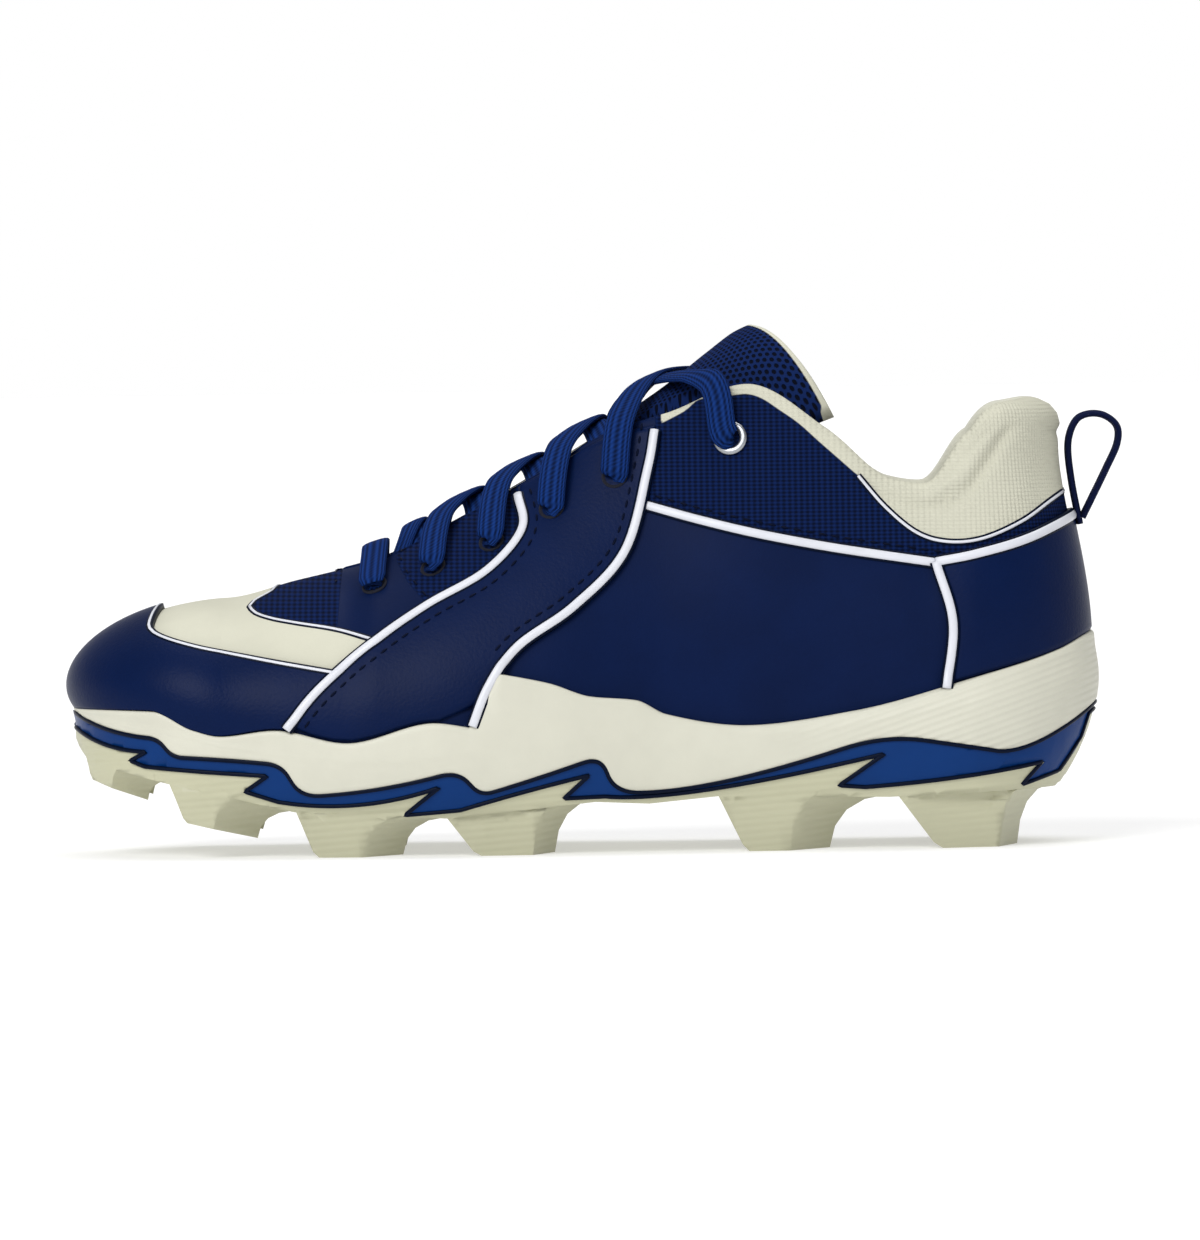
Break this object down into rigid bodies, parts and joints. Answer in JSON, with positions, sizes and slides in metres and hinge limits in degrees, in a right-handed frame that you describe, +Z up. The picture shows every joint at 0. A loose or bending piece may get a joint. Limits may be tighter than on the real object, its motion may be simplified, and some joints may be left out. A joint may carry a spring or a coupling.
{
  "type": "baseball cleat",
  "caption": "Low-cut left baseball cleat with a knit and overlay upper, flat laces, padded collar, heel pull loop and a moulded studded sole.",
  "frame": {"origin": "middle of the shoe's box, on the floor under its studs", "axes": "+X from the toe to the heel, +Z up, -Y towards the outer side of the left foot"},
  "size_m": [0.2582, 0.0908, 0.1275],
  "materials": {
    "stud_rubber": "moulded, satin",
    "plate_plastic": "moulded, semi-gloss",
    "midsole_foam": "painted foam, satin",
    "lining_cloth": "brushed lining",
    "upper_knit": "ribbed knit",
    "tongue_mesh": "open mesh",
    "overlay_leather": "synthetic, matt",
    "eyelet_metal": "light grey lacquer",
    "lace_cloth": "flat braid",
    "loop_webbing": "woven webbing"
  },
  "bodies": {
    "root": {"outsole": "stud_rubber", "plate": "plate_plastic", "midsole": "midsole_foam", "insole": "lining_cloth", "upper": "upper_knit", "tongue": "tongue_mesh", "toe_cap": "overlay_leather", "heel_counter": "overlay_leather", "saddle_lateral": "overlay_leather", "saddle_medial": "overlay_leather", "eyelet_ring_lateral": "eyelet_metal", "eyelet_ring_medial": "eyelet_metal", "lace_bar": "lace_cloth", "lace_crossing_1": "lace_cloth", "lace_crossing_2": "lace_cloth", "lace_crossing_3": "lace_cloth", "lace_crossing_4": "lace_cloth", "lace_crossing_5": "lace_cloth", "pull_loop": "loop_webbing"}
  },
  "joints": []
}
